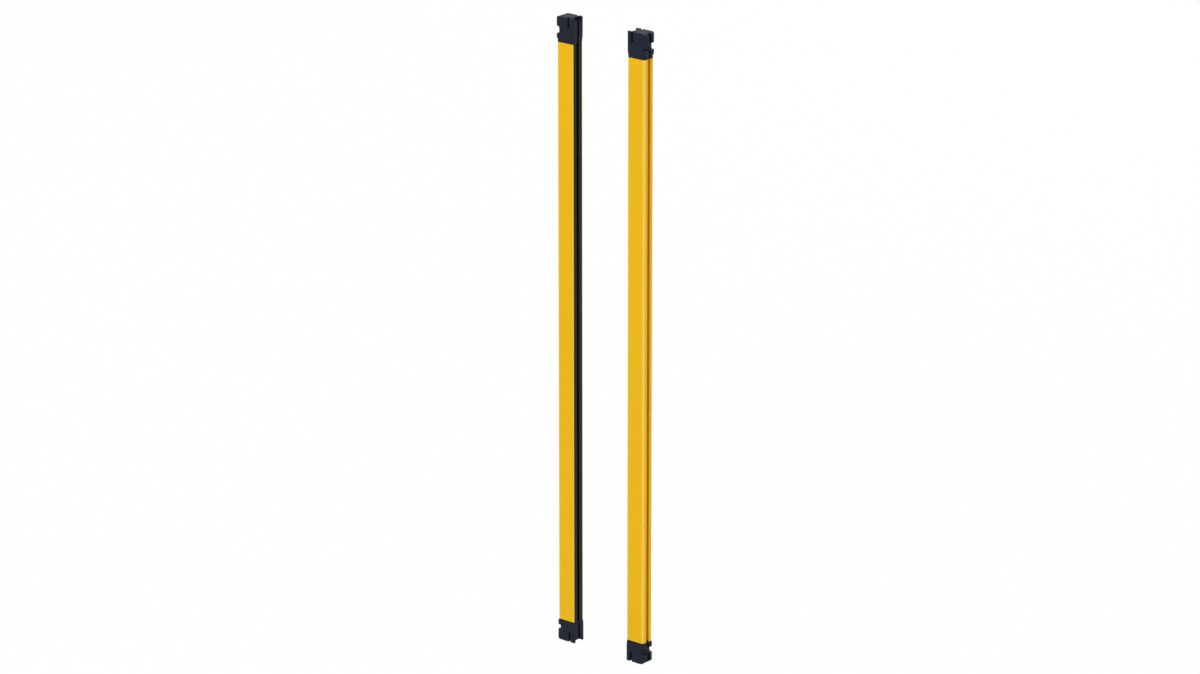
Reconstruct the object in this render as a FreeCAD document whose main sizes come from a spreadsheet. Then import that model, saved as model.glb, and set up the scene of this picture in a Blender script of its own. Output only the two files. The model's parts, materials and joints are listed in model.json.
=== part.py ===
import math
import os

import FreeCAD
import Part
import Sketcher
from FreeCAD import Placement, Rotation, Vector

# Safety light curtain: an emitter bar and a receiver bar that face each other.
# Each bar has its own frame: x is depth with the window towards +x, y is width,
# z is height from the bottom end. The pair's frame has its origin midway between
# the bars, at their bottom ends; +X goes from the emitter to the receiver.

SIZES = {
    # the pair
    "BarSpacing": 183.0,          # centre to centre
    "BarLength": 1320.0,          # end to end
    "BeamPitch": 20.0,
    "BeamMargin": 22.0,           # from the housing's end to the first beam
    # housing extrusion
    "BarDepth": 42.0,
    "BarWidth": 30.0,
    "BackRadius": 6.0,
    "FrontRadius": 2.0,
    "WallThickness": 2.0,
    "SlotMouth": 8.0,
    "SlotLip": 2.0,
    "SlotHead": 13.0,
    "SlotHeadDepth": 4.5,
    "SlotWeb": 1.8,
    "RibThickness": 1.1,
    "RibReach": 1.9,
    "PortForward": 10.0,          # screw axis from the middle of the section, towards the front
    "PortInset": 2.6,             # screw axis from the housing's side
    "PortWall": 1.2,
    # window and its strips
    "StripRecess": 0.4,
    "WindowRecess": 1.6,
    "WindowThickness": 2.0,
    "WindowBand": 7.0,            # what shows between the strips
    "WindowWidth": 12.0,
    "SealWidth": 0.9,
    "TongueOffset": 0.5,          # from the window's back to the strip's tongue
    "TongueWidth": 1.0,
    "TongueReach": 0.7,
    # optics and boards
    "LensWidth": 15.6,
    "LensPlate": 2.0,
    "LensHeight": 1.4,
    "LensSize": 10.0,             # each lens is cut square
    "LensGap": 1.2,               # from the lenses to the window
    "CarrierWidth": 18.4,
    "CarrierWall": 1.3,
    "CarrierLedge": 1.2,
    "ApertureSize": 6.0,
    "DiodeSize": 3.6,
    "DiodeHeight": 1.1,
    "BoardWidth": 24.4,
    "BoardThickness": 1.6,
    "BoardSpacing": 8.0,
    "BoardFront": 0.0,            # optic board's front, from the middle of the section
    "ControlBoardLength": 160.0,
    "HeaderWidth": 5.0,
    "HeaderLength": 20.0,
    "InnerSetBack": 10.0,         # from the housing's ends to the optics and boards
    # end caps
    "TopCapLength": 52.0,
    "BottomCapLength": 44.0,
    "TopHookHeight": 17.0,        # from the housing to the notch's near wall
    "BottomHookHeight": 12.0,
    "CapBackStand": 2.8,          # how far the cap's outer part stands out of the housing
    "CapFrontStand": 1.5,
    "CapSideStand": 0.4,
    "CapBackRadius": 7.0,
    "CapFrontRadius": 2.5,
    "CapEndRadius": 9.0,
    "StepDrop": 5.5,              # cap's step, from the hook's top
    "StepRise": 4.2,
    "HookTipDrop": 4.9,
    "HookTaper": 5.6,
    "HookTipRadius": 4.5,
    "HookSetBack": 0.5,
    "NotchEdge": 20.5,            # from the cap's end to the notch's far wall
    "NotchDepth": 10.0,
    "NotchRadius": 3.5,
    "ChannelDepth": 5.4,
    "TroughDepth": 7.0,
    "TroughBack": 8.5,            # trough's rear wall, from the middle of the section
    "TroughRadius": 1.0,
    "LegWidth": 4.5,
    "WiringDepth": 17.0,          # wiring space in the cap, open towards the housing
    "WiringBack": 10.5,           # its rear and front walls, from the middle of the section
    "WiringFront": 4.4,
    "WiringWidth": 17.8,
    "WiringRadius": 1.0,
    # screws, gaskets and socket
    "ScrewRadius": 1.5,
    "ScrewHeadRadius": 2.75,
    "ScrewHeadHeight": 3.0,
    "ScrewGrip": 7.0,             # length of screw inside the housing
    "ScrewSink": 24.0,            # from the cap's end to the head's seat
    "DriverHex": 1.25,
    "DriverDepth": 1.6,
    "GasketThickness": 1.0,
    "GasketInset": 0.3,
    "SocketRadius": 6.3,
    "SocketDepth": 12.0,
    "SocketSetBack": 3.4,         # socket's axis, from the middle of the section towards the back
    "InsertRadius": 5.7,
    "InsertLength": 9.0,
    "ContactRadius": 0.5,
    "ContactRing": 2.9,
    "ContactSink": 1.5,
    "ContactTail": 3.0,
    # clearances
    "SlideGap": 0.1,              # pieces that slide into the extrusion
    "HeadGap": 0.55,
    "ShankGap": 0.2,
    "ThreadGap": 0.03,
    "Overcut": 1.0,               # how far a cut runs past what it cuts
}
RING_CONTACTS = 4
LENS_BEVEL = 45                   # degrees

doc = FreeCAD.newDocument("SafetyLightCurtain")
sheet = doc.addObject("Spreadsheet::Sheet", "Sizes")
for row, (alias, number) in enumerate(SIZES.items(), start=1):
    sheet.set(f"A{row}", alias)
    sheet.set(f"B{row}", str(number))
    sheet.setAlias(f"B{row}", alias)
doc.recompute()


class Length:
    """A length with its number and the formula that ties it to the sheet."""

    def __init__(self, number, formula):
        self.number = number
        self.formula = formula

    def joined(self, other, sign, number):
        return Length(number, f"({self.formula} {sign} {as_length(other).formula})")

    def __add__(self, other):
        return self.joined(other, "+", self.number + as_length(other).number)

    def __sub__(self, other):
        return self.joined(other, "-", self.number - as_length(other).number)

    def __mul__(self, factor):
        return self.joined(factor, "*", self.number * as_length(factor).number)

    def __truediv__(self, factor):
        return self.joined(factor, "/", self.number / as_length(factor).number)

    def __neg__(self):
        return Length(-self.number, f"(0 - {self.formula})")


def as_length(value):
    return value if isinstance(value, Length) else Length(float(value), f"{float(value):g}")


def size(alias):
    return Length(SIZES[alias], f"Sizes.{alias}")


def bind(item, prop, length):
    item.setExpression(prop, length.formula)


# ---- places in the section that several pieces share ----

back = -size("BarDepth") / 2
front = size("BarDepth") / 2
side = size("BarWidth") / 2
wall_inside = side - size("WallThickness")
slot_floor = back + size("SlotLip") + size("SlotHeadDepth")
cavity_back = slot_floor + size("SlotWeb")
port_x = size("PortForward")
port_y = side - size("PortInset")
port_radius = size("ScrewRadius") + size("ThreadGap")
strip_front = front - size("StripRecess")
window_front = strip_front - size("WindowRecess")
window_back = window_front - size("WindowThickness")
lens_crown = window_back - size("LensGap")
lens_front = lens_crown - size("LensHeight")
lens_back = lens_front - size("LensPlate")
board_front = size("BoardFront")
control_front = board_front - size("BoardSpacing")
cap_back = back - size("CapBackStand")
cap_front = front + size("CapFrontStand")
cap_side = side + size("CapSideStand")
socket_x = -size("SocketSetBack")
past = size("Overcut")

# ---- heights along a bar ----

housing_low = size("BottomCapLength") + size("GasketThickness")
housing_high = size("BarLength") - size("TopCapLength") - size("GasketThickness")
housing_length = housing_high - housing_low
inner_low = housing_low + size("InnerSetBack")
inner_length = housing_length - size("InnerSetBack") * 2
beam_low = housing_low + size("BeamMargin")
beam_room = housing_length - size("BeamMargin") * 2
beam_count = int(beam_room.number // SIZES["BeamPitch"]) + 1


# ---- drawing helpers ----

def origin_plane(body, role):
    for feature in body.Origin.OriginFeatures:
        if feature.Role == role:
            return feature


def start_sketch(body, name, plane="XY_Plane", height=None):
    sketch = body.newObject("Sketcher::SketchObject", name)
    sketch.AttachmentSupport = (origin_plane(body, plane), [""])
    sketch.MapMode = "FlatFace"
    if height is not None:
        sketch.AttachmentOffset = Placement(Vector(0, 0, height.number), Rotation())
        bind(sketch, "AttachmentOffset.Base.z", height)
    return sketch


def hold(sketch, constraint, length=None):
    index = sketch.addConstraint(constraint)
    if length is not None:
        bind(sketch, f"Constraints[{index}]", length)


def pin_point(sketch, geometry, point, x, y):
    """Fix a point at x, y from the sketch's origin."""
    for kind, axis, place in (("DistanceX", -2, x), ("DistanceY", -1, y)):
        if place.number == 0:
            hold(sketch, Sketcher.Constraint("PointOnObject", geometry, point, axis))
        else:
            hold(sketch, Sketcher.Constraint(kind, -1, 1, geometry, point, place.number), place)


def outline(sketch, corners):
    """Closed outline through corners (x, y) or (x, y, radius); a radius rounds its corner."""
    spots = []
    for corner in corners:
        x, y = as_length(corner[0]), as_length(corner[1])
        radius = corner[2] if len(corner) == 3 else None
        spots.append((x, y, radius, Vector(x.number, y.number, 0)))
    count = len(spots)
    rounds = []
    for index, (x, y, radius, here) in enumerate(spots):
        before = (spots[index - 1][3] - here).normalize()
        after = (spots[(index + 1) % count][3] - here).normalize()
        if radius is None:
            rounds.append((here, here, None))
            continue
        half_angle = before.getAngle(after) / 2
        reach = radius.number / math.tan(half_angle)
        bisector = (before + after).normalize()
        middle = here + bisector * (radius.number / math.sin(half_angle))
        crown = middle - bisector * radius.number
        rounds.append((here + before * reach, here + after * reach, crown))
    lines = []
    for index in range(count):
        line_start = rounds[index][1]
        line_end = rounds[(index + 1) % count][0]
        lines.append(sketch.addGeometry(Part.LineSegment(line_start, line_end), False))
    for index, (x, y, radius, here) in enumerate(spots):
        line_in, line_out = lines[index - 1], lines[index]
        if radius is None:
            hold(sketch, Sketcher.Constraint("Coincident", line_in, 2, line_out, 1))
            pin_point(sketch, line_out, 1, x, y)
            continue
        arrive, leave, crown = rounds[index]
        arc = sketch.addGeometry(Part.Arc(arrive, crown, leave), False)
        turn = (here - arrive).cross(leave - here).z
        arc_in, arc_out = (1, 2) if turn > 0 else (2, 1)
        hold(sketch, Sketcher.Constraint("Tangent", line_in, 2, arc, arc_in))
        hold(sketch, Sketcher.Constraint("Tangent", line_out, 1, arc, arc_out))
        hold(sketch, Sketcher.Constraint("Radius", arc, radius.number), radius)
        corner_point = sketch.addGeometry(Part.Point(here), True)
        pin_point(sketch, corner_point, 1, x, y)
        hold(sketch, Sketcher.Constraint("PointOnObject", corner_point, 1, line_in))
        hold(sketch, Sketcher.Constraint("PointOnObject", corner_point, 1, line_out))


def rectangle(sketch, west, east, south, north, radius=None):
    corners = [(west, south), (east, south), (east, north), (west, north)]
    if radius is not None:
        corners = [(x, y, radius) for x, y in corners]
    outline(sketch, corners)


def circle(sketch, x, y, radius):
    x, y = as_length(x), as_length(y)
    round_line = Part.Circle(Vector(x.number, y.number, 0), Vector(0, 0, 1), radius.number)
    index = sketch.addGeometry(round_line, False)
    hold(sketch, Sketcher.Constraint("Radius", index, radius.number), radius)
    pin_point(sketch, index, 3, x, y)


def pad(body, sketch, length, symmetric=False):
    feature = body.newObject("PartDesign::Pad", f"{sketch.Name}Pad")
    feature.Profile = sketch
    feature.SideType = "Symmetric" if symmetric else "One side"
    bind(feature, "Length", length)
    sketch.Visibility = False
    return feature


def pocket(body, sketch, length=None, upwards=False, symmetric=False):
    """Cut downwards along the sketch's normal, or upwards, or through all."""
    feature = body.newObject("PartDesign::Pocket", f"{sketch.Name}Pocket")
    feature.Profile = sketch
    feature.SideType = "Symmetric" if symmetric else "One side"
    if length is None:
        feature.Type = "ThroughAll"
    else:
        bind(feature, "Length", length)
    feature.Reversed = upwards
    sketch.Visibility = False
    return feature


def mirror(body, features, name):
    """Repeat features on the other side of the bar's middle plane."""
    feature = body.newObject("PartDesign::Mirrored", name)
    feature.Originals = features
    feature.MirrorPlane = (origin_plane(body, "XZ_Plane"), [""])
    body.Tip = feature
    return feature


def beam_row(body, feature, name):
    """Repeat a feature at every beam, upwards from the lowest."""
    row = body.newObject("PartDesign::LinearPattern", name)
    row.Originals = [feature]
    row.Direction = (origin_plane(body, "Z_Axis"), [""])
    row.Mode = "Spacing"
    bind(row, "Offset", size("BeamPitch"))
    row.Occurrences = beam_count
    body.Tip = row
    return row


pieces = []


def start_piece(bar, name, place=None):
    """A body of one bar, named for its node; place is its own place in the bar's frame."""
    node = f"{bar['name']}_{name}"
    body = doc.addObject("PartDesign::Body", f"Body_{node}")
    body.Label = node
    body.AllowCompound = True
    turn = bar["turn"]
    height = as_length(0)
    if place is not None:
        height, own_turn = place
        turn = turn.multiply(own_turn)
    body.Placement = Placement(Vector(bar["x"].number, 0, height.number), turn)
    bind(body, "Placement.Base.x", bar["x"])
    if place is not None:
        bind(body, "Placement.Base.z", height)
    pieces.append(body)
    return body


# ---- the extrusion and what slides into it ----

def make_housing(bar):
    body = start_piece(bar, "housing")
    section = start_sketch(body, "HousingSection", height=housing_low)
    outline(section, [
        (back, -side, size("BackRadius")),
        (front, -side, size("FrontRadius")),
        (front, side, size("FrontRadius")),
        (back, side, size("BackRadius")),
    ])
    pad(body, section, housing_length)

    cavity = start_sketch(body, "HousingCavity", height=housing_low)
    rectangle(cavity, cavity_back, front + past, -wall_inside, wall_inside)
    pocket(body, cavity, upwards=True)

    slot = start_sketch(body, "MountingSlot", height=housing_low)
    mouth, head, lip = size("SlotMouth") / 2, size("SlotHead") / 2, back + size("SlotLip")
    outline(slot, [
        (back - past, -mouth), (lip, -mouth), (lip, -head), (slot_floor, -head),
        (slot_floor, head), (lip, head), (lip, mouth), (back - past, mouth),
    ])
    pocket(body, slot, upwards=True)

    # two pairs of ribs on each side hold the two boards
    in_wall = side - size("WallThickness") / 2
    rib_tip = wall_inside - size("RibReach")
    ribs = start_sketch(body, "BoardRibs", height=housing_low)
    for board in (board_front, control_front):
        low_rib = board - size("BoardThickness") - size("SlideGap")
        high_rib = board + size("SlideGap")
        rectangle(ribs, low_rib - size("RibThickness"), low_rib, rib_tip, in_wall)
        rectangle(ribs, high_rib, high_rib + size("RibThickness"), rib_tip, in_wall)
    rib_pad = pad(body, ribs, housing_length)

    boss_reach = port_radius + size("PortWall")
    boss = start_sketch(body, "ScrewBoss", height=housing_low)
    boss_round = size("PortWall")
    outline(boss, [
        (port_x - boss_reach, port_y - boss_reach, boss_round),
        (port_x + boss_reach, port_y - boss_reach, boss_round),
        (port_x + boss_reach, in_wall),
        (port_x - boss_reach, in_wall),
    ])
    boss_pad = pad(body, boss, housing_length)

    port = start_sketch(body, "ScrewPort", height=housing_low)
    circle(port, port_x, port_y, port_radius)
    port_cut = pocket(body, port, upwards=True)

    groove = start_sketch(body, "StripGroove", height=housing_low)
    groove_low = window_back + size("TongueOffset") - size("SlideGap")
    groove_floor = wall_inside + size("TongueReach") + size("SlideGap")
    groove_high = groove_low + size("TongueWidth") + size("SlideGap") * 2
    rectangle(groove, groove_low, groove_high, wall_inside - past, groove_floor)
    groove_cut = pocket(body, groove, upwards=True)
    mirror(body, [rib_pad, boss_pad, port_cut, groove_cut], "BothSides")


def make_window(bar):
    body = start_piece(bar, "window")
    section = start_sketch(body, "WindowSection", height=housing_low)
    half = size("WindowWidth") / 2
    rectangle(section, window_back, window_front, -half, half)
    pad(body, section, housing_length)


def make_window_strip(bar, name, hand):
    """A black strip between the window and the housing's lip; hand is +1 or -1 along y."""
    body = start_piece(bar, name)
    section = start_sketch(body, "StripSection", height=housing_low)
    outer = wall_inside - size("SlideGap")
    tongue_low = window_back + size("TongueOffset")
    tongue_high = tongue_low + size("TongueWidth")
    tongue_tip = outer + size("TongueReach")
    seal_side = size("WindowWidth") / 2 + size("SealWidth")
    band = size("WindowBand") / 2
    edge_round = size("StripRecess")
    corners = [
        (strip_front, band, edge_round), (window_front, band), (window_front, seal_side),
        (window_back, seal_side), (window_back, outer), (tongue_low, outer),
        (tongue_low, tongue_tip), (tongue_high, tongue_tip), (tongue_high, outer),
        (strip_front, outer, edge_round),
    ]
    outline(section, [(corner[0], corner[1] * hand, *corner[2:]) for corner in corners])
    pad(body, section, housing_length)


def make_window_seals(bar):
    body = start_piece(bar, "window_seals")
    section = start_sketch(body, "SealSection", height=housing_low)
    inner = size("WindowWidth") / 2
    rectangle(section, window_back, window_front, inner, inner + size("SealWidth"))
    mirror(body, [pad(body, section, housing_length)], "BothSeals")


# ---- optics and electronics ----

def make_lens_strip(bar):
    body = start_piece(bar, "lens_strip")
    plate = start_sketch(body, "LensPlate", height=inner_low)
    half = size("LensWidth") / 2
    rectangle(plate, lens_back, lens_front, -half, half)
    pad(body, plate, inner_length)

    lens = start_sketch(body, "LensOutline", "YZ_Plane", lens_front)
    half_lens = size("LensSize") / 2
    rectangle(lens, -half_lens, half_lens, beam_low - half_lens, beam_low + half_lens)
    dome = pad(body, lens, size("LensHeight"))
    dome.TaperAngle = -LENS_BEVEL
    beam_row(body, dome, "LensRow")


def make_optic_carrier(bar):
    body = start_piece(bar, "optic_carrier")
    section = start_sketch(body, "CarrierSection", height=inner_low)
    outer = size("CarrierWidth") / 2
    seat = size("LensWidth") / 2 + size("SlideGap")
    throat = seat - size("CarrierLedge")
    floor_low = board_front + size("SlideGap")
    floor_high = floor_low + size("CarrierWall")
    rim = window_back - size("SlideGap")
    outline(section, [
        (floor_low, -outer), (rim, -outer), (rim, -seat), (lens_back, -seat),
        (lens_back, -throat), (floor_high, -throat), (floor_high, throat),
        (lens_back, throat), (lens_back, seat), (rim, seat), (rim, outer), (floor_low, outer),
    ])
    pad(body, section, inner_length)
    window = start_sketch(body, "Aperture", "YZ_Plane", floor_low - past)
    half = size("ApertureSize") / 2
    rectangle(window, -half, half, beam_low - half, beam_low + half)
    opening = pocket(body, window, size("CarrierWall") + past * 2, upwards=True)
    beam_row(body, opening, "ApertureRow")


def make_optic_board(bar):
    body = start_piece(bar, "optic_board")
    section = start_sketch(body, "OpticBoardSection", height=inner_low)
    half = size("BoardWidth") / 2
    rectangle(section, board_front - size("BoardThickness"), board_front, -half, half)
    pad(body, section, inner_length)


def make_diodes(bar):
    body = start_piece(bar, bar["diodes"])
    base = start_sketch(body, "DiodeBase", "YZ_Plane", board_front)
    half = size("DiodeSize") / 2
    rectangle(base, -half, half, beam_low - half, beam_low + half)
    beam_row(body, pad(body, base, size("DiodeHeight")), "DiodeRow")


def make_control_board(bar):
    body = start_piece(bar, "control_board")
    section = start_sketch(body, "ControlBoardSection", height=inner_low)
    half = size("BoardWidth") / 2
    rectangle(section, control_front - size("BoardThickness"), control_front, -half, half)
    pad(body, section, size("ControlBoardLength"))


def make_board_header(bar):
    body = start_piece(bar, "board_header")
    header_low = inner_low + size("ControlBoardLength") / 2
    section = start_sketch(body, "HeaderSection", height=header_low)
    half = size("HeaderWidth") / 2
    rectangle(section, control_front, board_front - size("BoardThickness"), -half, half)
    pad(body, section, size("HeaderLength"))


# ---- end caps: z = 0 is the face that meets the gasket, +z is the cap's end ----

def wiring_outline(sketch):
    half = size("WiringWidth") / 2
    rectangle(sketch, -size("WiringBack"), size("WiringFront"), -half, half, size("WiringRadius"))


def make_cap(bar, end):
    body = start_piece(bar, f"{end['name']}_cap", end["cap_place"])
    length, hook = end["length"], end["hook"]
    step = hook - size("StepDrop")
    beyond, far = cap_back - past, cap_front + past
    across = (cap_side + past) * 2

    # full outline of the outer part, then the collar that is flush with the housing
    block = start_sketch(body, "CapOutline")
    outline(block, [
        (cap_back, -cap_side, size("CapBackRadius")),
        (cap_front, -cap_side, size("CapFrontRadius")),
        (cap_front, cap_side, size("CapFrontRadius")),
        (cap_back, cap_side, size("CapBackRadius")),
    ])
    pad(body, block, length)

    collar = start_sketch(body, "CollarCut")
    rectangle(collar, beyond, far, -across / 2, across / 2)
    outline(collar, [
        (back, -side, size("BackRadius")),
        (front, -side, size("FrontRadius")),
        (front, side, size("FrontRadius")),
        (back, side, size("BackRadius")),
    ])
    pocket(body, collar, hook - size("HookTipDrop") - size("HookTaper"), upwards=True)

    # side profile: hook and notch at the back, rounded end, sloped step at the front
    hook_tip = cap_back + size("HookSetBack")
    notch_wall = cap_back + size("NotchDepth")
    notch_far = length - size("NotchEdge")
    notch = start_sketch(body, "BackNotch", "XZ_Plane")
    outline(notch, [
        (beyond, hook), (notch_wall, hook, size("NotchRadius")),
        (notch_wall, notch_far, size("NotchRadius")), (beyond, notch_far),
    ])
    pocket(body, notch, across, symmetric=True)

    hook_shape = start_sketch(body, "HookTaper", "XZ_Plane")
    tip_low = hook - size("HookTipDrop")
    outline(hook_shape, [
        (beyond, tip_low - size("HookTaper")), (back, tip_low - size("HookTaper")),
        (hook_tip, tip_low), (hook_tip, hook, size("HookTipRadius")),
        (notch_wall, hook), (notch_wall, hook + past), (beyond, hook + past),
    ])
    pocket(body, hook_shape, across, symmetric=True)

    end_shape = start_sketch(body, "EndRounding", "XZ_Plane")
    end_reach = size("CapEndRadius") + past
    outline(end_shape, [
        (cap_back, length - end_reach), (cap_back, length, size("CapEndRadius")),
        (cap_back + end_reach, length), (cap_back + end_reach, length + past),
        (beyond, length + past), (beyond, length - end_reach),
    ])
    pocket(body, end_shape, across, symmetric=True)

    step_shape = start_sketch(body, "FrontStep", "XZ_Plane")
    outline(step_shape, [
        (front, -past), (far, -past), (far, step + size("StepRise")),
        (cap_front, step + size("StepRise")), (front, step),
    ])
    pocket(body, step_shape, across, symmetric=True)

    # channel in the back in line with the housing's slot, groove in the front in line with the window
    half_mouth = size("SlotMouth") / 2
    channel = start_sketch(body, "BackChannel")
    rectangle(channel, beyond, cap_back + size("ChannelDepth"), -half_mouth, half_mouth)
    pocket(body, channel, upwards=True)
    half_band = size("WindowBand") / 2
    groove = start_sketch(body, "FrontGroove")
    rectangle(groove, window_front, far, -half_band, half_band)
    pocket(body, groove, upwards=True)

    # trough between the two front legs
    trough = start_sketch(body, "FrontTrough", height=length)
    leg_inside = cap_side - size("LegWidth")
    outline(trough, [
        (size("TroughBack"), -leg_inside, size("TroughRadius")), (far, -leg_inside),
        (far, leg_inside), (size("TroughBack"), leg_inside, size("TroughRadius")),
    ])
    pocket(body, trough, size("TroughDepth"))

    space = start_sketch(body, "WiringSpace")
    wiring_outline(space)
    pocket(body, space, size("WiringDepth"), upwards=True)

    # screw seats, which break out of the cap's sides, and the holes below them
    seat = start_sketch(body, "ScrewSeat", height=length)
    circle(seat, port_x, port_y, size("ScrewHeadRadius") + size("HeadGap"))
    seat_cut = pocket(body, seat, size("ScrewSink"))
    shank = start_sketch(body, "ScrewHole")
    circle(shank, port_x, port_y, size("ScrewRadius") + size("ShankGap"))
    shank_cut = pocket(body, shank, upwards=True)
    mirror(body, [seat_cut, shank_cut], "BothScrews")

    if end["has_socket"]:
        socket = start_sketch(body, "CableSocket", height=length)
        circle(socket, socket_x, 0, size("SocketRadius"))
        pocket(body, socket, size("SocketDepth"))
        seat = start_sketch(body, "InsertSeat", height=length - size("SocketDepth"))
        circle(seat, socket_x, 0, size("InsertRadius"))
        pocket(body, seat, length - size("SocketDepth") - size("WiringDepth") + past)


def make_gasket(bar, end):
    body = start_piece(bar, f"{end['name']}_gasket", end["gasket_place"])
    inset = size("GasketInset")
    sheet_outline = start_sketch(body, "GasketOutline")
    outline(sheet_outline, [
        (back + inset, -side + inset, size("BackRadius") - inset),
        (front - inset, -side + inset, size("FrontRadius") - inset),
        (front - inset, side - inset, size("FrontRadius") - inset),
        (back + inset, side - inset, size("BackRadius") - inset),
    ])
    pad(body, sheet_outline, size("GasketThickness"))
    opening = start_sketch(body, "GasketOpening")
    wiring_outline(opening)
    pocket(body, opening, upwards=True)
    slot = start_sketch(body, "GasketSlot")
    half_mouth = size("SlotMouth") / 2
    rectangle(slot, back - past, slot_floor, -half_mouth, half_mouth)
    pocket(body, slot, upwards=True)
    groove = start_sketch(body, "GasketGroove")
    half_band = size("WindowBand") / 2
    rectangle(groove, window_front, front + past, -half_band, half_band)
    pocket(body, groove, upwards=True)
    hole = start_sketch(body, "GasketHole")
    circle(hole, port_x, port_y, size("ScrewRadius") + size("ShankGap"))
    mirror(body, [pocket(body, hole, upwards=True)], "BothHoles")


def make_cap_screws(bar, end):
    body = start_piece(bar, f"{end['name']}_cap_screws", end["cap_place"])
    seat_height = end["length"] - size("ScrewSink")
    head = start_sketch(body, "ScrewHead", height=seat_height)
    circle(head, port_x, port_y, size("ScrewHeadRadius"))
    head_pad = pad(body, head, size("ScrewHeadHeight"))
    shank_low = -(size("GasketThickness") + size("ScrewGrip"))
    shank = start_sketch(body, "ScrewShank", height=shank_low)
    circle(shank, port_x, port_y, size("ScrewRadius"))
    shank_pad = pad(body, shank, seat_height - shank_low)
    drive = start_sketch(body, "ScrewDrive", height=seat_height + size("ScrewHeadHeight"))
    flat = size("DriverHex")
    corner = flat / math.cos(math.radians(30))
    outline(drive, [
        (port_x + corner, port_y), (port_x + corner / 2, port_y + flat),
        (port_x - corner / 2, port_y + flat), (port_x - corner, port_y),
        (port_x - corner / 2, port_y - flat), (port_x + corner / 2, port_y - flat),
    ])
    drive_cut = pocket(body, drive, size("DriverDepth"))
    mirror(body, [head_pad, shank_pad, drive_cut], "BothScrews")


# ---- cable socket of the bottom cap, in the cap's frame ----

def contact_spots():
    spots = [(socket_x, as_length(0))]
    for index in range(RING_CONTACTS):
        angle = math.radians(360 / RING_CONTACTS * index)
        ring = size("ContactRing")
        spots.append((socket_x + ring * round(math.cos(angle), 6), ring * round(math.sin(angle), 6)))
    return spots


def make_connector_insert(bar, end):
    body = start_piece(bar, "connector_insert", end["cap_place"])
    face = end["length"] - size("SocketDepth")
    disc = start_sketch(body, "InsertDisc", height=face - size("InsertLength"))
    circle(disc, socket_x, 0, size("InsertRadius"))
    pad(body, disc, size("InsertLength"))
    holes = start_sketch(body, "ContactHoles", height=face)
    for x, y in contact_spots():
        circle(holes, x, y, size("ContactRadius"))
    pocket(body, holes)


def make_connector_contacts(bar, end):
    body = start_piece(bar, "connector_contacts", end["cap_place"])
    face = end["length"] - size("SocketDepth")
    contact_low = face - size("InsertLength") - size("ContactTail")
    rods = start_sketch(body, "ContactRods", height=contact_low)
    for x, y in contact_spots():
        circle(rods, x, y, size("ContactRadius"))
    pad(body, rods, size("InsertLength") + size("ContactTail") - size("ContactSink"))


BARS = (
    {"name": "emitter", "x": -size("BarSpacing") / 2, "turn": Rotation(), "diodes": "light_diodes"},
    {"name": "receiver", "x": size("BarSpacing") / 2,
     "turn": Rotation(Vector(0, 0, 1), 180), "diodes": "photo_diodes"},
)
UPSIDE_DOWN = Rotation(Vector(1, 0, 0), 180)
ENDS = (
    {"name": "top", "length": size("TopCapLength"), "hook": size("TopHookHeight"),
     "cap_place": (size("BarLength") - size("TopCapLength"), Rotation()),
     "gasket_place": (housing_high, Rotation()), "has_socket": False},
    {"name": "bottom", "length": size("BottomCapLength"), "hook": size("BottomHookHeight"),
     "cap_place": (size("BottomCapLength"), UPSIDE_DOWN),
     "gasket_place": (housing_low, UPSIDE_DOWN), "has_socket": True},
)

for bar in BARS:
    make_housing(bar)
    make_window(bar)
    make_window_strip(bar, "left_window_strip", 1)
    make_window_strip(bar, "right_window_strip", -1)
    make_window_seals(bar)
    make_lens_strip(bar)
    make_optic_carrier(bar)
    make_optic_board(bar)
    make_diodes(bar)
    make_control_board(bar)
    make_board_header(bar)
    for end in ENDS:
        make_cap(bar, end)
        make_gasket(bar, end)
        make_cap_screws(bar, end)
        if end["has_socket"]:
            make_connector_insert(bar, end)
            make_connector_contacts(bar, end)

doc.recompute()

# ---- checks and export ----

for item in doc.Objects:
    if "Invalid" in item.State or "Error" in item.State:
        raise RuntimeError(f"{item.Label} failed: {item.State}")
for body in pieces:
    if body.Shape.isNull() or not body.Shape.isValid() or not body.Shape.Solids:
        raise RuntimeError(f"{body.Label} has no valid solid")
for cut in doc.findObjects("PartDesign::Pocket"):
    base = cut.BaseFeature
    if base is not None and cut.Shape.Volume >= base.Shape.Volume - 1e-6:
        raise RuntimeError(f"{cut.Label} removes nothing")

os.makedirs("parts", exist_ok=True)
for body in pieces:
    body.Shape.exportStep(f"parts/{body.Label}.step")
    print(f"{body.Label}: {len(body.Shape.Solids)} solid(s), {body.Shape.Volume / 1000:.2f} cm3")
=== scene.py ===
import json
import math

import bmesh
import bpy
from mathutils import Matrix, Vector


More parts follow.
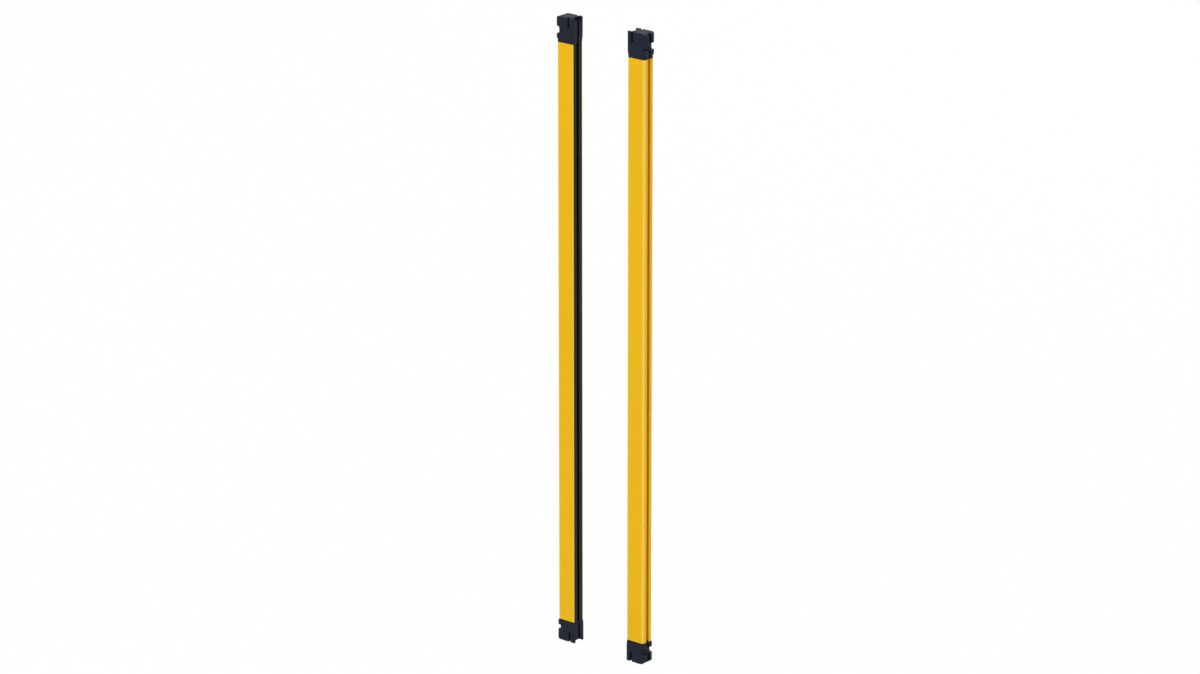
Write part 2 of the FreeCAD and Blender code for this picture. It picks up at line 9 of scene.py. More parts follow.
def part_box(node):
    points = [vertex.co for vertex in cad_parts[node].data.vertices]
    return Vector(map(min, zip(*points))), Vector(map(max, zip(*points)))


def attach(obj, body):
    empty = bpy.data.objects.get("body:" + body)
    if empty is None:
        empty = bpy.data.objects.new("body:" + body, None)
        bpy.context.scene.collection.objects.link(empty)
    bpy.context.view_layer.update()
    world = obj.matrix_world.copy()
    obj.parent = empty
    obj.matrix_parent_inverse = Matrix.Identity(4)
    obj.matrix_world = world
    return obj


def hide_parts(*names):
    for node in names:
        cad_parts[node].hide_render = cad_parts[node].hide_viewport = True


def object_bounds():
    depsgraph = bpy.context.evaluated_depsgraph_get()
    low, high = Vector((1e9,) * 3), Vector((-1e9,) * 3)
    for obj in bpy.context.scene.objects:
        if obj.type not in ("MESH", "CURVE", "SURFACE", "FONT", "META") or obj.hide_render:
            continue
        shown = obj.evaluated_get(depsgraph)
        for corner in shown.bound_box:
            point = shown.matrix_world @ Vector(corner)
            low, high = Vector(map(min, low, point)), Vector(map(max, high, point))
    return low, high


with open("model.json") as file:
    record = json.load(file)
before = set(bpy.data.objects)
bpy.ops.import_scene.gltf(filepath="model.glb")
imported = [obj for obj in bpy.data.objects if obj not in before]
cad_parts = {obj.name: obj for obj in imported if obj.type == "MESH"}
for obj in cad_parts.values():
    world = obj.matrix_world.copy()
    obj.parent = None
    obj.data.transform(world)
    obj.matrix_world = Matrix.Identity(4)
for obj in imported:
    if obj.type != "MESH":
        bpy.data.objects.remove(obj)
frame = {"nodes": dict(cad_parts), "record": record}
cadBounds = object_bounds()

scene = bpy.context.scene
millimetre = 0.001
print("frame loaded")


def directionFrom(azimuth, elevation):
    # from the pair towards a camera or lamp; azimuth 0 is its front, 90 its right
    azimuth, elevation = math.radians(azimuth), math.radians(elevation)
    return Vector((math.sin(azimuth) * math.cos(elevation),
                   -math.cos(azimuth) * math.cos(elevation),
                   math.sin(elevation)))


# long lens, from the right of the pair's front and a little above
cameraView = {
    "azimuth": 40.0,
    "elevation": 18.4,
    "distance": 10.0,          # metres, as all of these lengths
    "viewWidth": 2.400,        # width that the view takes in at the pair
    "asideShift": -0.010,      # aim point from the middle of the pair, along the view
    "upShift": 0.0125,
    "sensorWidth": 36.0,       # millimetres, as the lens
    "clipEnd": 200.0,
}


def makeCamera(view):
    azimuth = math.radians(view["azimuth"])
    towards = directionFrom(view["azimuth"], view["elevation"])
    across = Vector((math.cos(azimuth), math.sin(azimuth), 0.0))
    low, high = (Vector(corner) for corner in cadBounds)
    aim = (low + high) / 2 + across * view["asideShift"] + Vector((0, 0, view["upShift"]))
    data = bpy.data.cameras.new("viewCamera")
    data.sensor_width = view["sensorWidth"]
    data.lens = view["sensorWidth"] * view["distance"] / view["viewWidth"]
    data.clip_end = view["clipEnd"]
    camera = bpy.data.objects.new("viewCamera", data)
    camera.location = aim + towards * view["distance"]
    camera.rotation_euler = (-towards).to_track_quat("-Z", "Y").to_euler()
    scene.collection.objects.link(camera)
    scene.camera = camera


makeCamera(cameraView)
print("camera placed")


def addGroup(name, inputs, outputs):
    group = bpy.data.node_groups.new(name, "ShaderNodeTree")
    for socketName, kind, value in inputs:
        socket = group.interface.new_socket(socketName, in_out="INPUT", socket_type=kind)
        socket.default_value = value
    for socketName, kind in outputs:
        group.interface.new_socket(socketName, in_out="OUTPUT", socket_type=kind)
    start = group.nodes.new("NodeGroupInput")
    end = group.nodes.new("NodeGroupOutput")
    return group, start, end


def addNode(tree, kind, **settings):
    node = tree.nodes.new(kind)
    for key, value in settings.items():
        setattr(node, key, value)
    return node


def addMath(tree, operation, first, second, clamp=False):
    node = addNode(tree, "ShaderNodeMath", operation=operation, use_clamp=clamp)
    for socket, value in zip(node.inputs, (first, second)):
        if isinstance(value, (int, float)):
            socket.default_value = value
        else:
            tree.links.new(value, socket)
    return node.outputs["Value"]


def addNoise(tree, vector, scale, detail):
    node = addNode(tree, "ShaderNodeTexNoise")
    node.inputs["Detail"].default_value = detail
    tree.links.new(scale, node.inputs["Scale"])
    tree.links.new(vector, node.inputs["Vector"])
    return node.outputs["Fac"]


# noise between rampLow and rampHigh turns from the first shade into the second
mottle = {"detail": 3.0, "rampLow": 0.35, "rampHigh": 0.65}


def makeMottleGroup():
    # slow drift between two shades of one finish
    group, start, end = addGroup("mottledColour", [
        ("Base", "NodeSocketColor", (0.8, 0.8, 0.8, 1.0)),
        ("Drift", "NodeSocketColor", (0.7, 0.7, 0.7, 1.0)),
        ("Scale", "NodeSocketFloat", 20.0),
        ("Stretch", "NodeSocketFloat", 1.0),
    ], [("Color", "NodeSocketColor"), ("Mask", "NodeSocketFloat")])
    place = addNode(group, "ShaderNodeTexCoord")
    squeeze = addNode(group, "ShaderNodeCombineXYZ")
    squeeze.inputs["X"].default_value = 1.0
    squeeze.inputs["Y"].default_value = 1.0
    group.links.new(start.outputs["Stretch"], squeeze.inputs["Z"])
    scaled = addNode(group, "ShaderNodeVectorMath", operation="MULTIPLY")
    group.links.new(place.outputs["Object"], scaled.inputs[0])
    group.links.new(squeeze.outputs["Vector"], scaled.inputs[1])
    noise = addNoise(group, scaled.outputs["Vector"], start.outputs["Scale"],
                     mottle["detail"])
    ramp = addNode(group, "ShaderNodeMapRange")
    ramp.inputs["From Min"].default_value = mottle["rampLow"]
    ramp.inputs["From Max"].default_value = mottle["rampHigh"]
    group.links.new(noise, ramp.inputs["Value"])
    mix = addNode(group, "ShaderNodeMix", data_type="RGBA")
    group.links.new(ramp.outputs["Result"], mix.inputs["Factor"])
    group.links.new(start.outputs["Base"], mix.inputs["A"])
    group.links.new(start.outputs["Drift"], mix.inputs["B"])
    group.links.new(mix.outputs["Result"], end.inputs["Color"])
    group.links.new(ramp.outputs["Result"], end.inputs["Mask"])
    return group


grainDetail = {"coarse": 1.0, "fine": 2.0}    # noise detail of each size of grain


def makeGrainGroup():
    # raised grain of two sizes; Balance is the share of the fine one
    group, start, end = addGroup("raisedGrain", [
        ("Coarse", "NodeSocketFloat", 400.0),
        ("Fine", "NodeSocketFloat", 1800.0),
        ("Balance", "NodeSocketFloat", 0.5),
    ], [("Height", "NodeSocketFloat")])
    place = addNode(group, "ShaderNodeTexCoord")
    coarse = addNoise(group, place.outputs["Object"], start.outputs["Coarse"],
                      grainDetail["coarse"])
    fine = addNoise(group, place.outputs["Object"], start.outputs["Fine"],
                    grainDetail["fine"])
    share = addMath(group, "SUBTRACT", 1.0, start.outputs["Balance"])
    height = addMath(group, "ADD",
                     addMath(group, "MULTIPLY", coarse, share),
                     addMath(group, "MULTIPLY", fine, start.outputs["Balance"]))
    group.links.new(height, end.inputs["Height"])
    return group


# faint lines that an extrusion die leaves along the bar
drawnLines = {"detail": 1.0, "lengthwise": 0.004, "heightShare": 0.4}


def makeDrawnLinesGroup():
    group, start, end = addGroup("drawnLines", [
        ("Pitch", "NodeSocketFloat", 900.0),
    ], [("Height", "NodeSocketFloat")])
    place = addNode(group, "ShaderNodeTexCoord")
    flat = addNode(group, "ShaderNodeVectorMath", operation="MULTIPLY")
    flat.inputs[1].default_value = (1.0, 1.0, drawnLines["lengthwise"])
    group.links.new(place.outputs["Object"], flat.inputs[0])
    lines = addNoise(group, flat.outputs["Vector"], start.outputs["Pitch"],
                     drawnLines["detail"])
    group.links.new(lines, end.inputs["Height"])
    return group


# housing's rounded corners seen from above, where a painted highlight is laid: centre and radius
# of each arc, in metres from
#  the middle of the pair; outward is 1 where the corner faces away from the other bar
paintedHighlightArcs = {
    "back": {"along": 0.1065, "aside": 0.009, "radius": 0.006, "outward": 1.0},
    "front": {"along": 0.0725, "aside": 0.013, "radius": 0.002, "outward": -1.0},
}


def makePaintedHighlightGroup():
    # mask of the painted highlight: 1 halfway round each corner's arc, 0 on the flats
    group, start, end = addGroup("paintedCornerHighlight", [
        ("Sharpness", "NodeSocketFloat", 2.0),
    ], [("Mask", "NodeSocketFloat")])
    place = addNode(group, "ShaderNodeTexCoord")
    split = addNode(group, "ShaderNodeSeparateXYZ")
    group.links.new(place.outputs["Object"], split.inputs["Vector"])
    along = addMath(group, "ABSOLUTE", split.outputs["X"], 0.0)
    aside = addMath(group, "ABSOLUTE", split.outputs["Y"], 0.0)
    masks = []
    for arc in paintedHighlightArcs.values():
        across = addMath(group, "MULTIPLY", arc["outward"] / arc["radius"],
                         addMath(group, "SUBTRACT", along, arc["along"]))
        sideways = addMath(group, "MULTIPLY", 1.0 / arc["radius"],
                           addMath(group, "SUBTRACT", aside, arc["aside"]))
        masks.append(addMath(group, "MULTIPLY", math.sqrt(2.0),
                             addMath(group, "MINIMUM", across, sideways), clamp=True))
    both = addMath(group, "MAXIMUM", *masks)
    group.links.new(addMath(group, "POWER", both, start.outputs["Sharpness"]),
                    end.inputs["Mask"])
    return group


mottleGroup = makeMottleGroup()
paintedHighlightGroup = makePaintedHighlightGroup()
grainGroup = makeGrainGroup()
drawnGroup = makeDrawnLinesGroup()


def placeGroup(tree, group, **values):
    node = addNode(tree, "ShaderNodeGroup", node_tree=group)
    for key, value in values.items():
        node.inputs[key].default_value = value
    return node


def paintFinish(name, look):
    # mottled colour, a painted highlight on the rounded corners where asked, roughness that
    # drifts, grain in the surface
    material = bpy.data.materials.new(name)
    material.use_nodes = True
    tree = material.node_tree
    shader = tree.nodes["Principled BSDF"]
    colour = placeGroup(tree, mottleGroup, Base=(*look["base"], 1.0),
                        Drift=(*look["drift"], 1.0), Scale=look["driftScale"],
                        Stretch=look.get("stretch", 1.0))
    shade = colour.outputs["Color"]
    # painted highlight: a finish with a corner colour has its rounded corners painted paler, in
    # place of the light they catch
    if "corner" in look:
        corner = placeGroup(tree, paintedHighlightGroup, Sharpness=look["cornerSharpness"])
        mix = addNode(tree, "ShaderNodeMix", data_type="RGBA")
        tree.links.new(corner.outputs["Mask"], mix.inputs["Factor"])
        tree.links.new(shade, mix.inputs["A"])
        mix.inputs["B"].default_value = (*look["corner"], 1.0)
        shade = mix.outputs["Result"]
    tree.links.new(shade, shader.inputs["Base Color"])
    low, high = look["roughness"]
    spread = addNode(tree, "ShaderNodeMapRange")
    spread.inputs["To Min"].default_value = low
    spread.inputs["To Max"].default_value = high
    tree.links.new(colour.outputs["Mask"], spread.inputs["Value"])
    tree.links.new(spread.outputs["Result"], shader.inputs["Roughness"])
    shader.inputs["Metallic"].default_value = look.get("metallic", 0.0)
    shader.inputs["Specular IOR Level"].default_value = look.get("specular", 0.5)
    coarse, fine, balance = look["grain"]
    grain = placeGroup(tree, grainGroup, Coarse=coarse, Fine=fine, Balance=balance)
    height = grain.outputs["Height"]
    if "drawn" in look:
        drawn = placeGroup(tree, drawnGroup, Pitch=look["drawn"])
        height = addMath(tree, "ADD", height,
                         addMath(tree, "MULTIPLY", drawn.outputs["Height"],
                                 drawnLines["heightShare"]))
    strength, distance = look["bump"]
    bump = addNode(tree, "ShaderNodeBump")
    bump.inputs["Strength"].default_value = strength
    bump.inputs["Distance"].default_value = distance * millimetre
    tree.links.new(height, bump.inputs["Height"])
    tree.links.new(bump.outputs["Normal"], shader.inputs["Normal"])
    return material


# base and drift are the two shades; grain is its coarse scale, fine scale and fine share;
# drawn is the scale of the die's lines; bump is strength and height in millimetres
finishes = {
    "housing_coat": {
        "base": (0.83, 0.472, 0.0042), "drift": (0.805, 0.456, 0.0038), "driftScale": 9.0,
        "stretch": 0.25, "roughness": (0.34, 0.42), "specular": 0.12,
        "grain": (700.0, 2400.0, 0.35), "bump": (0.35, 0.05), "drawn": 900.0,
        # corner is the pale colour of the painted highlight on the housing's rounded corners
        "corner": (0.91, 0.60, 0.095), "cornerSharpness": 1.0,
    },
    "cap_plastic": {
        "base": (0.0065, 0.0093, 0.019), "drift": (0.0085, 0.0115, 0.022), "driftScale": 60.0,
        "roughness": (0.46, 0.58), "specular": 0.14, "grain": (1500.0, 4200.0, 0.5),
        "bump": (0.5, 0.05),
    },
    "strip_plastic": {
        "base": (0.008, 0.009, 0.010), "drift": (0.010, 0.011, 0.012), "driftScale": 25.0,
        "stretch": 0.1, "roughness": (0.40, 0.50), "specular": 0.15,
        "grain": (2000.0, 5000.0, 0.6), "bump": (0.25, 0.03),
    },
    "window_dark": {
        "base": (0.0005, 0.0004, 0.0006), "drift": (0.0008, 0.0005, 0.0008), "driftScale": 4.0,
        "roughness": (0.06, 0.1), "specular": 0.02, "grain": (30.0, 90.0, 0.3),
        "bump": (0.08, 0.1),
    },
    "seal_rubber": {
        "base": (0.012, 0.012, 0.012), "drift": (0.018, 0.018, 0.018), "driftScale": 80.0,
        "roughness": (0.7, 0.85), "specular": 0.25, "grain": (1200.0, 3000.0, 0.5),
        "bump": (0.4, 0.05),
    },
    "lens_plastic": {
        "base": (0.50, 0.51, 0.54), "drift": (0.44, 0.45, 0.48), "driftScale": 30.0,
        "roughness": (0.08, 0.14), "specular": 0.5, "grain": (60.0, 300.0, 0.2),
        "bump": (0.1, 0.05),
    },
    "carrier_plastic": {
        "base": (0.016, 0.016, 0.017), "drift": (0.022, 0.022, 0.023), "driftScale": 40.0,
        "roughness": (0.55, 0.7), "specular": 0.3, "grain": (1500.0, 3600.0, 0.5),
        "bump": (0.3, 0.05),
    },
    "board": {
        "base": (0.012, 0.10, 0.035), "drift": (0.02, 0.14, 0.05), "driftScale": 220.0,
        "roughness": (0.3, 0.42), "specular": 0.5, "grain": (500.0, 1500.0, 0.5),
        "bump": (0.3, 0.05),
    },
    "diode_resin": {
        "base": (0.34, 0.34, 0.42), "drift": (0.25, 0.24, 0.34), "driftScale": 300.0,
        "roughness": (0.1, 0.2), "specular": 0.5, "grain": (800.0, 1600.0, 0.5),
        "bump": (0.1, 0.02),
    },
    "screw_steel": {
        "base": (0.055, 0.055, 0.06), "drift": (0.035, 0.035, 0.04), "driftScale": 260.0,
        "roughness": (0.32, 0.46), "metallic": 1.0, "grain": (1600.0, 4000.0, 0.5),
        "bump": (0.2, 0.02),
    },
    "contact_brass": {
        "base": (0.83, 0.62, 0.26), "drift": (0.74, 0.53, 0.2), "driftScale": 700.0,
        "roughness": (0.22, 0.34), "metallic": 1.0, "grain": (2500.0, 6000.0, 0.5),
        "bump": (0.1, 0.01),
    },
}
materials = {name: paintFinish(name, look) for name, look in finishes.items()}
print("finishes made:", len(materials))


def dress(piece, slotName):
    piece.data.materials.clear()
    piece.data.materials.append(materials[slotName])


for part in frame["record"]["subparts"]:
    dress(frame["nodes"][part["node"]], part["material_slot"])


def barMatrix(barName):
    # a bar is drawn in millimetres with its window towards +x, then set in its place
    low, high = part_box(f"{barName}_housing")
    middle = (low.x + high.x) / 2
    turn = Matrix.Rotation(math.pi if middle > 0 else 0.0, 4, "Z")
    return Matrix.Translation((middle, 0.0, 0.0)) @ turn @ Matrix.Scale(millimetre, 4)


# angles in degrees, lengths in millimetres
softening = {
    "smoothBelow": 35.0,       # shading runs over flatter edges than this
    "softenAbove": 50.0,
    "knifeAbove": 115.0,       # edges this thin stay as they are, with all that touch them
    "ledgeBand": 0.1,
    "segments": 2,
    "normalWeight": 100,       # large faces set the shading
}


def markEdges(bm, sharpLedge):
    # sharp edges get the softening, apart from knife edges and a ledge too narrow for it
    weight = bm.edges.layers.float.new("bevel_weight_edge")
    angles = {edge: math.degrees(edge.calc_face_angle(0.0)) if len(edge.link_faces) == 2 else 0.0
              for edge in bm.edges}
    knives = {vert for edge, angle in angles.items() if angle > softening["knifeAbove"]
              for vert in edge.verts}
    band = softening["ledgeBand"] * millimetre
    for edge, angle in angles.items():
        edge.smooth = angle < softening["smoothBelow"]
        onLedge = sharpLedge is not None and all(
            abs(vert.co.z - sharpLedge) < band for vert in edge.verts)
        if (softening["softenAbove"] < angle < softening["knifeAbove"]
                and not onLedge and not knives.intersection(edge.verts)):
            edge[weight] = 1.0


def finishPiece(bm, name, slotName, nodeName, edgeWidth, sharpLedge=None):
    for face in bm.faces:
        face.smooth = True
    markEdges(bm, sharpLedge)
    mesh = bpy.data.meshes.new(name)
    bm.to_mesh(mesh)
    bm.free()
    piece = bpy.data.objects.new(name, mesh)
    scene.collection.objects.link(piece)
    dress(piece, slotName)
    bevel = piece.modifiers.new("softEdges", "BEVEL")
    bevel.width = edgeWidth * millimetre
    bevel.segments = softening["segments"]
    bevel.limit_method = "WEIGHT"
    bevel.harden_normals = True
    bevel.use_clamp_overlap = False
    evenNormals = piece.modifiers.new("evenNormals", "WEIGHTED_NORMAL")
    evenNormals.keep_sharp = True
    evenNormals.weight = softening["normalWeight"]
    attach(piece, "root")
    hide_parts(nodeName)


# rounds of a section, in millimetres: edges along the bar that start at a rounded corner
sectionRounds = {"leastLength": 1.0, "cornerReach": 0.001, "leastSegments": 3, "perRadius": 2}


def extrudeSection(barName, corners, low, high):
    # corners are (x, y) or (x, y, radius) in order round the section
    bm = bmesh.new()
    ring = [bm.verts.new((corner[0], corner[1], low)) for corner in corners]
    base = bm.faces.new(ring)
    grown = bmesh.ops.extrude_face_region(bm, geom=[base])
    top = [item for item in grown["geom"] if isinstance(item, bmesh.types.BMVert)]
    bmesh.ops.translate(bm, verts=top, vec=(0, 0, high - low))
    bmesh.ops.recalc_face_normals(bm, faces=bm.faces)
    radii = sorted({corner[2] for corner in corners if len(corner) == 3}, reverse=True)
    for radius in radii:
        spots = [Vector(corner[:2]) for corner in corners if corner[2:] == (radius,)]
        edges = [edge for edge in bm.edges
                 if abs(edge.verts[0].co.z - edge.verts[1].co.z) > sectionRounds["leastLength"]
                 and any((edge.verts[0].co.xy - spot).length < sectionRounds["cornerReach"]
                         for spot in spots)]
        segments = max(sectionRounds["leastSegments"], round(radius * sectionRounds["perRadius"]))
        bmesh.ops.bevel(bm, geom=edges, offset=radius, offset_type="OFFSET",
                        segments=segments, profile=0.5, affect="EDGES", material=-1)
    bmesh.ops.transform(bm, matrix=barMatrix(barName), verts=bm.verts)
    return bm


def mirrored(half):
    # the other half of a section, so that the outline closes
    return half + [(corner[0], -corner[1], *corner[2:]) for corner in reversed(half)]


# aluminium extrusion, in millimetres
housing = {
    "depth": 42.0, "width": 30.0, "backRadius": 6.0, "frontRadius": 2.0, "wall": 2.0,
    "mouth": 8.0, "lip": 2.0, "head": 13.0, "headDepth": 4.5, "web": 1.8,    # back slot
    "ribThickness": 1.1, "ribReach": 1.9,                                    # board guides
    "board": 1.6, "boardSpacing": 8.0, "boardFront": 0.0,
    "portForward": 10.0, "portInset": 2.6, "portReach": 2.73, "portRound": 1.2,    # screw ports
    "grooveLow": 17.4, "grooveWidth": 1.2, "grooveDepth": 0.8, "slideGap": 0.1,
    "edge": 0.25,
}


def housingSection(sizes):
    back, front = -sizes["depth"] / 2, sizes["depth"] / 2
    side = sizes["width"] / 2
    inside = side - sizes["wall"]
    slotFloor = back + sizes["lip"] + sizes["headDepth"]
    half = [
        (slotFloor, sizes["head"] / 2), (back + sizes["lip"], sizes["head"] / 2),
        (back + sizes["lip"], sizes["mouth"] / 2), (back, sizes["mouth"] / 2),
        (back, side, sizes["backRadius"]), (front, side, sizes["frontRadius"]), (front, inside),
    ]
    grooveFloor = inside + sizes["grooveDepth"]
    grooveHigh = sizes["grooveLow"] + sizes["grooveWidth"]
    half += [(grooveHigh, inside), (grooveHigh, grooveFloor),
             (sizes["grooveLow"], grooveFloor), (sizes["grooveLow"], inside)]
    portX, portY, reach = sizes["portForward"], side - sizes["portInset"], sizes["portReach"]
    half += [(portX + reach, inside), (portX + reach, portY - reach, sizes["portRound"]),
             (portX - reach, portY - reach, sizes["portRound"]), (portX - reach, inside)]
    ribTip = inside - sizes["ribReach"]
    for boardFront in (sizes["boardFront"], sizes["boardFront"] - sizes["boardSpacing"]):
        for ribHigh in (boardFront + sizes["slideGap"] + sizes["ribThickness"],
                        boardFront - sizes["board"] - sizes["slideGap"]):
            ribLow = ribHigh - sizes["ribThickness"]
            half += [(ribHigh, inside), (ribHigh, ribTip), (ribLow, ribTip), (ribLow, inside)]
    half.append((slotFloor + sizes["web"], inside))
    return mirrored(half)


def nodeEnds(nodeName):
    # heights of a solid's lower and upper end, in millimetres
    low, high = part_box(nodeName)
    return low.z / millimetre, high.z / millimetre


def makeHousing(barName):
    nodeName = f"{barName}_housing"
    bm = extrudeSection(barName, housingSection(housing), *nodeEnds(nodeName))
    finishPiece(bm, f"{barName}Housing", "housing_coat", nodeName, housing["edge"])


# window and the two strips that hold it in the housing's lips, in millimetres
windowFront = {
    "stripRecess": 0.4, "windowRecess": 1.6, "thickness": 2.0, "band": 7.0, "windowWidth": 12.0,
    "seal": 0.9, "tongueOffset": 0.5, "tongue": 1.0, "tongueReach": 0.7, "slideGap": 0.1,
    "edgeRound": 0.4, "edge": 0.15,
}


def makeWindow(barName, sizes):
    nodeName = f"{barName}_window"
    front = housing["depth"] / 2 - sizes["stripRecess"] - sizes["windowRecess"]
    back, half = front - sizes["thickness"], sizes["windowWidth"] / 2
    section = [(back, -half), (front, -half), (front, half), (back, half)]
    bm = extrudeSection(barName, section, *nodeEnds(nodeName))
    finishPiece(bm, f"{barName}Window", "window_dark", nodeName, sizes["edge"])


def makeStrip(barName, sizes, sideName, hand):
    nodeName = f"{barName}_{sideName}_window_strip"
    front = housing["depth"] / 2 - sizes["stripRecess"]
    ledge = front - sizes["windowRecess"]
    back = ledge - sizes["thickness"]
    outer = housing["width"] / 2 - housing["wall"] - sizes["slideGap"]
    tongueLow = back + sizes["tongueOffset"]
    tongueHigh = tongueLow + sizes["tongue"]
    tongueTip = outer + sizes["tongueReach"]
    sealSide = sizes["windowWidth"] / 2 + sizes["seal"]
    section = [
        (front, sizes["band"] / 2, sizes["edgeRound"]), (ledge, sizes["band"] / 2),
        (ledge, sealSide), (back, sealSide), (back, outer), (tongueLow, outer),
        (tongueLow, tongueTip), (tongueHigh, tongueTip), (tongueHigh, outer),
        (front, outer, sizes["edgeRound"]),
    ]
    section = [(corner[0], corner[1] * hand, *corner[2:]) for corner in section]
    bm = extrudeSection(barName, section, *nodeEnds(nodeName))
    finishPiece(bm, f"{barName}{sideName.title()}Strip", "strip_plastic", nodeName,
                sizes["edge"])


# copies of solids with softened edges, in millimetres; ledge is how far a cap's narrow ledge
# lies from its end at the gasket, and outward is 1 where the cap's free end is up
softened = {
    "top_cap": {"slot": "cap_plastic", "edge": 0.35, "ledge": 6.5, "outward": 1},
    "bottom_cap": {"slot": "cap_plastic", "edge": 0.35, "ledge": -1.5, "outward": -1},
    "top_cap_screws": {"slot": "screw_steel", "edge": 0.2},
    "bottom_cap_screws": {"slot": "screw_steel", "edge": 0.2},
    "connector_insert": {"slot": "carrier_plastic", "edge": 0.15},
    "connector_contacts": {"slot": "contact_brass", "edge": 0.12},
}


# where a screw's round seat stands in a cap, and how wide and deep it opens to the side
screwSeat = {
    "forward": 10.0, "aside": 12.4, "radius": 3.3,
    "slotHalfWidth": 2.3, "slotDepth": 24.0, "slotMargin": 0.3,
}


def widenSeatSlots(bm, barName, sizes, endHeight, outward):
    toWorld = barMatrix(barName)
    toBar = toWorld.inverted()
    half = sizes["slotHalfWidth"]
    rim = sizes["aside"] + math.sqrt(sizes["radius"] ** 2 - half ** 2)
    deepest = sizes["slotDepth"] + sizes["slotMargin"]
    for vert in bm.verts:
        spot = toBar @ vert.co
        offset = spot.x - sizes["forward"]
        deep = (endHeight - spot.z) * outward
        if abs(spot.y) > rim and abs(offset) < half and -sizes["slotMargin"] < deep < deepest:
            spot.x = sizes["forward"] + math.copysign(half, offset)
            vert.co = toWorld @ spot


# wall that parts the trough between a cap's front legs from its two screw seats
capWall = {
    "troughBack": 8.5, "front": 13.6, "legInside": 10.9, "depth": 7.0, "sink": 0.05,
    "overlap": 0.3, "arcSteps": 8,
}


def makeCapWall(barName, sizes, endHeight, outward):
    forward, aside, radius = screwSeat["forward"], screwSeat["aside"], screwSeat["radius"]
    frontAngle = -math.asin((aside - sizes["legInside"]) / radius)
    backAngle = -math.acos((sizes["troughBack"] - forward) / radius)
    side = sizes["legInside"] + sizes["overlap"]
    half = [(sizes["front"], side), (forward + radius * math.cos(frontAngle), side)]
    for step in range(sizes["arcSteps"] + 1):
        angle = frontAngle + (backAngle - frontAngle) * step / sizes["arcSteps"]
        half.append((forward + radius * math.cos(angle), aside + radius * math.sin(angle)))
    half.append((sizes["troughBack"] - sizes["overlap"], half[-1][1]))
    ends = (endHeight - outward * sizes["sink"],
            endHeight - outward * (sizes["depth"] + sizes["overlap"]))
    return extrudeSection(barName, mirrored(half), min(ends), max(ends))


def joinMesh(bm, other):
    mesh = bpy.data.meshes.new("joined")
    other.to_mesh(mesh)
    other.free()
    bm.from_mesh(mesh)
    bpy.data.meshes.remove(mesh)


# a solid's loose triangles are merged, and flat ones joined
copyCleaning = {"mergeReach": 0.000002, "flatAngle": 0.5}    # metres, degrees


def softenedCopy(barName, nodeEnd, look):
    nodeName = f"{barName}_{nodeEnd}"
    bm = bmesh.new()
    bm.from_mesh(frame["nodes"][nodeName].data)
    bmesh.ops.remove_doubles(bm, verts=bm.verts, dist=copyCleaning["mergeReach"])
    bmesh.ops.dissolve_limit(bm, angle_limit=math.radians(copyCleaning["flatAngle"]),
                             verts=bm.verts, edges=bm.edges)
    ledge = None
    if "ledge" in look:    # only the caps have one
        outward = look["outward"]
        low, high = nodeEnds(nodeName)
        freeEnd, gasketEnd = (high, low) if outward > 0 else (low, high)
        ledge = (gasketEnd + look["ledge"]) * millimetre
        widenSeatSlots(bm, barName, screwSeat, freeEnd, outward)
        joinMesh(bm, makeCapWall(barName, capWall, freeEnd, outward))
    name = barName + "".join(word.title() for word in nodeEnd.split("_"))
    finishPiece(bm, name, look["slot"], nodeName, look["edge"], ledge)


for barName in ("emitter", "receiver"):
    makeHousing(barName)
    makeWindow(barName, windowFront)
    makeStrip(barName, windowFront, "left", 1)
    makeStrip(barName, windowFront, "right", -1)
    for nodeEnd, look in softened.items():
        softenedCopy(barName, nodeEnd, look)
    print(barName, "bar dressed")


def seenDirectly(tree):
    # 1 for what the camera, a reflection or a look through glass meets, 0 for stray light
    rays = addNode(tree, "ShaderNodeLightPath")
    return addMath(tree, "MAXIMUM", rays.outputs["Is Camera Ray"],
                   addMath(tree, "MAXIMUM", rays.outputs["Is Glossy Ray"],
                           rays.outputs["Is Transmission Ray"]))


floorLook = {
    "size": 120.0, "gap": 0.0002,    # metres
    "matt": 0.86,
    "whiteShare": 0.96,              # how much of the floor is plain white to the camera
}


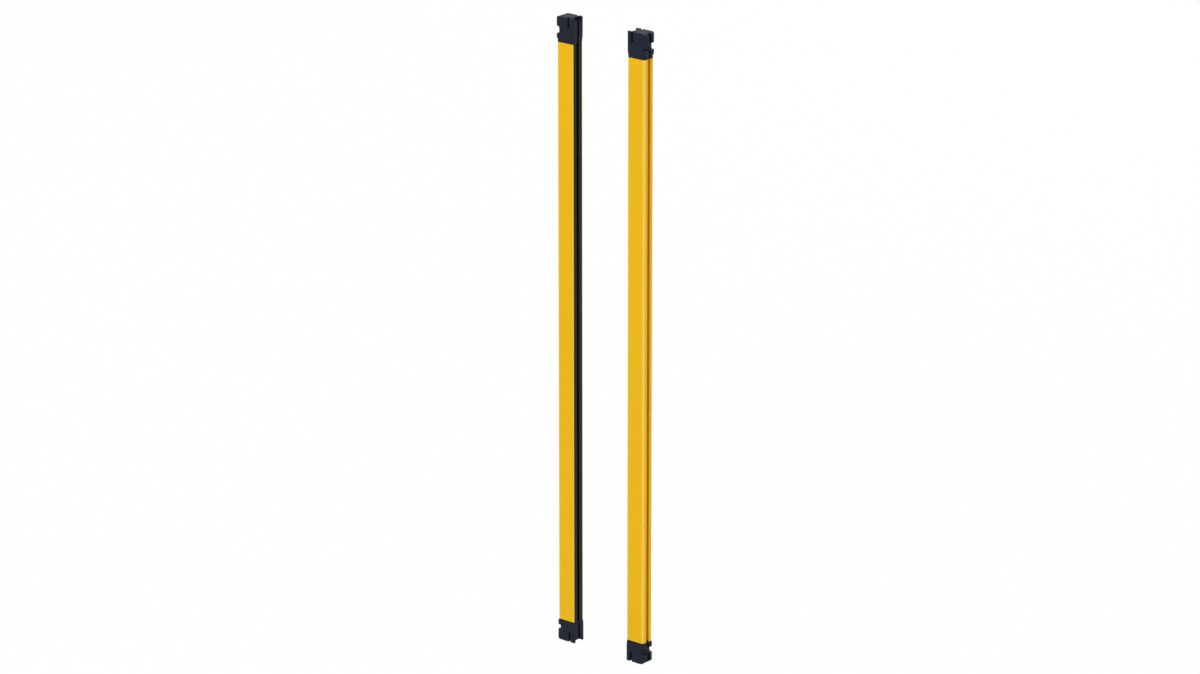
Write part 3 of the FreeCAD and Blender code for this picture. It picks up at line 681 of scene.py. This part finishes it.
def makeFloor(look):
    bm = bmesh.new()
    bmesh.ops.create_grid(bm, x_segments=2, y_segments=2, size=look["size"] / 2)
    mesh = bpy.data.meshes.new("floor")
    bm.to_mesh(mesh)
    bm.free()
    floor = bpy.data.objects.new("floor", mesh)
    floor.location.z = Vector(cadBounds[0]).z - look["gap"]
    scene.collection.objects.link(floor)
    material = bpy.data.materials.new("floorPale")
    material.use_nodes = True
    tree = material.node_tree
    tree.nodes.remove(tree.nodes["Principled BSDF"])
    out = tree.nodes["Material Output"]
    matt = addNode(tree, "ShaderNodeBsdfDiffuse")
    matt.inputs["Color"].default_value = (look["matt"], look["matt"], look["matt"], 1.0)
    white = addNode(tree, "ShaderNodeEmission")
    share = addMath(tree, "MULTIPLY", seenDirectly(tree), look["whiteShare"])
    mix = addNode(tree, "ShaderNodeMixShader")
    tree.links.new(share, mix.inputs["Fac"])
    tree.links.new(matt.outputs["BSDF"], mix.inputs[1])
    tree.links.new(white.outputs["Emission"], mix.inputs[2])
    tree.links.new(mix.outputs["Shader"], out.inputs["Surface"])
    mesh.materials.append(material)


worldLook = {"lightStrength": 0.5, "seenStrength": 1.0}


def makeWorld(look):
    world = bpy.data.worlds.new("studio")
    world.use_nodes = True
    scene.world = world
    tree = world.node_tree
    background = tree.nodes["Background"]
    background.inputs["Color"].default_value = (1.0, 1.0, 1.0, 1.0)
    strength = addNode(tree, "ShaderNodeMapRange")
    strength.inputs["To Min"].default_value = look["lightStrength"]
    strength.inputs["To Max"].default_value = look["seenStrength"]
    tree.links.new(seenDirectly(tree), strength.inputs["Value"])
    tree.links.new(strength.outputs["Result"], background.inputs["Strength"])


lampLook = {
    "energy": 318.0, "elevation": 25.0,
    "size": 5.0, "distance": 9.0, "aimHeight": 0.66,    # metres
    "places": {"keyLamp": (10.0, 1.0), "fillLamp": (110.0, 0.55),    # azimuth, share of energy
               "rearLamp": (190.0, 0.65), "leftLamp": (280.0, 0.6)},
}


def makeLamp(name, look):
    azimuth, share = look["places"][name]
    towards = directionFrom(azimuth, look["elevation"])
    data = bpy.data.lights.new(name, "AREA")
    data.shape = "SQUARE"
    data.size = look["size"]
    data.energy = look["energy"] * share
    lamp = bpy.data.objects.new(name, data)
    lamp.location = Vector((0, 0, look["aimHeight"])) + towards * look["distance"]
    lamp.rotation_euler = (-towards).to_track_quat("-Z", "Y").to_euler()
    scene.collection.objects.link(lamp)


makeFloor(floorLook)
makeWorld(worldLook)
for name in lampLook["places"]:
    makeLamp(name, lampLook)
scene.view_settings.view_transform = "Standard"
print("floor and light placed")
